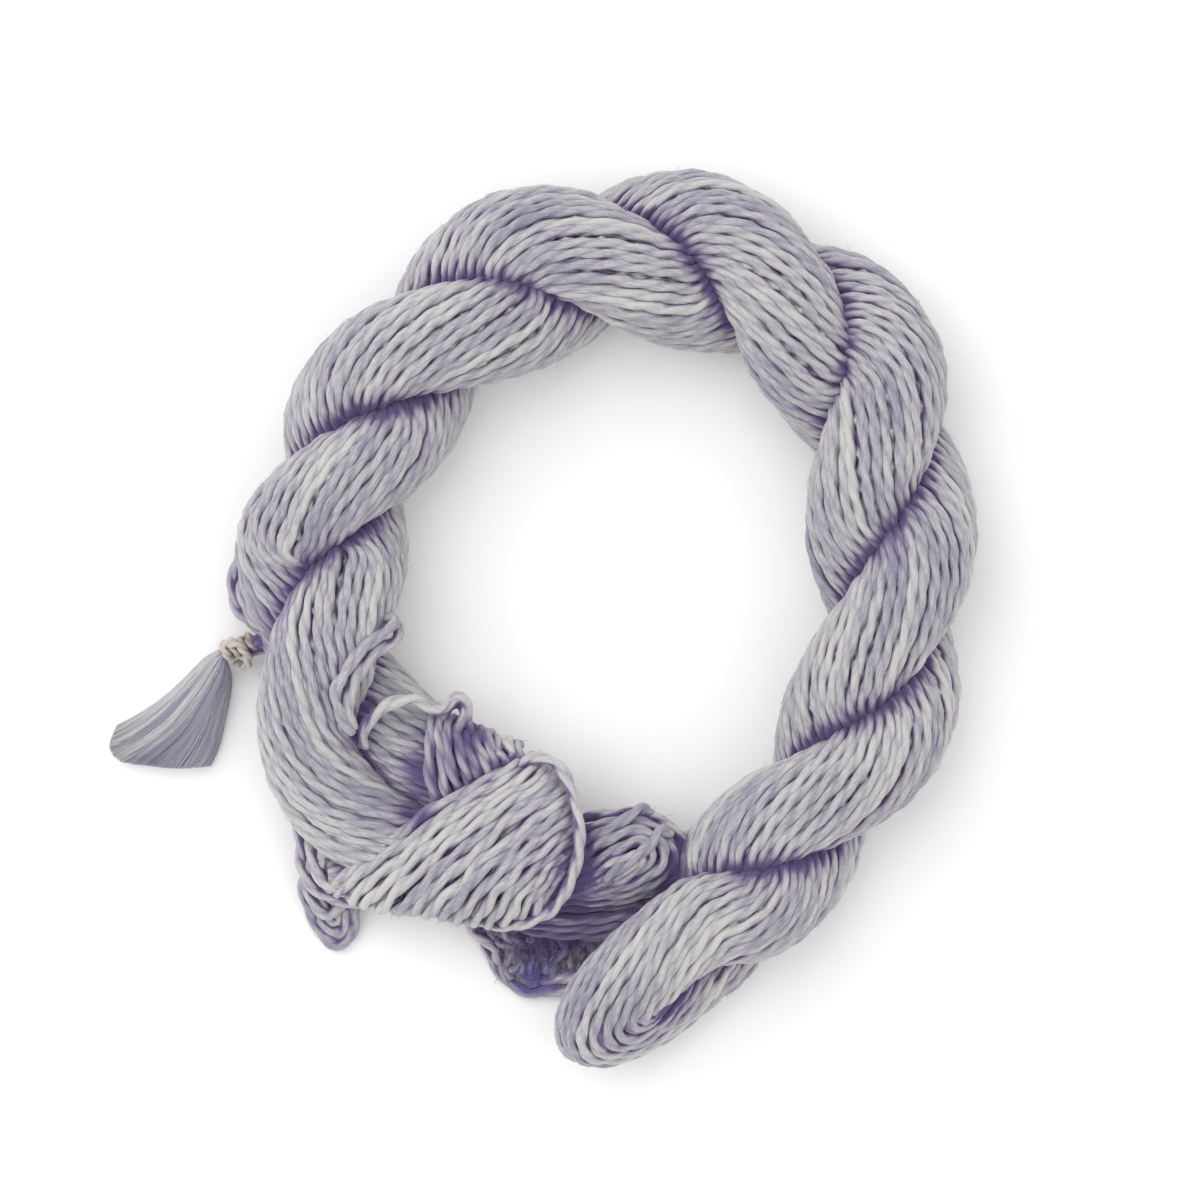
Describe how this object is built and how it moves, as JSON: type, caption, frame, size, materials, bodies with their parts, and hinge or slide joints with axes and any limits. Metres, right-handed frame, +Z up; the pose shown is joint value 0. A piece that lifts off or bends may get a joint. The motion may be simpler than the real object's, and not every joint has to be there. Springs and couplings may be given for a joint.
{
  "type": "skein of wool yarn",
  "caption": "Small hank of plied wool, twisted on itself into a rope and laid as a closed, knotted ring, with a tuft of combed fibre tied to its side.",
  "frame": {"origin": "centre of the footprint, on the floor", "axes": "+Z up off the floor, +X towards the plain side of the ring, away from the tuft, +Y away from the loop end"},
  "size_m": [0.148, 0.1524, 0.025],
  "materials": {
    "yarn": "matt two-ply wool, pale lavender, unevenly dyed",
    "tie_thread": "matt undyed thread",
    "tuft_fibre": "combed fibre, pale lavender, soft silky sheen"
  },
  "bodies": {
    "root": {"skein": "yarn", "tie": "tie_thread", "tassel": "tuft_fibre"}
  },
  "joints": []
}
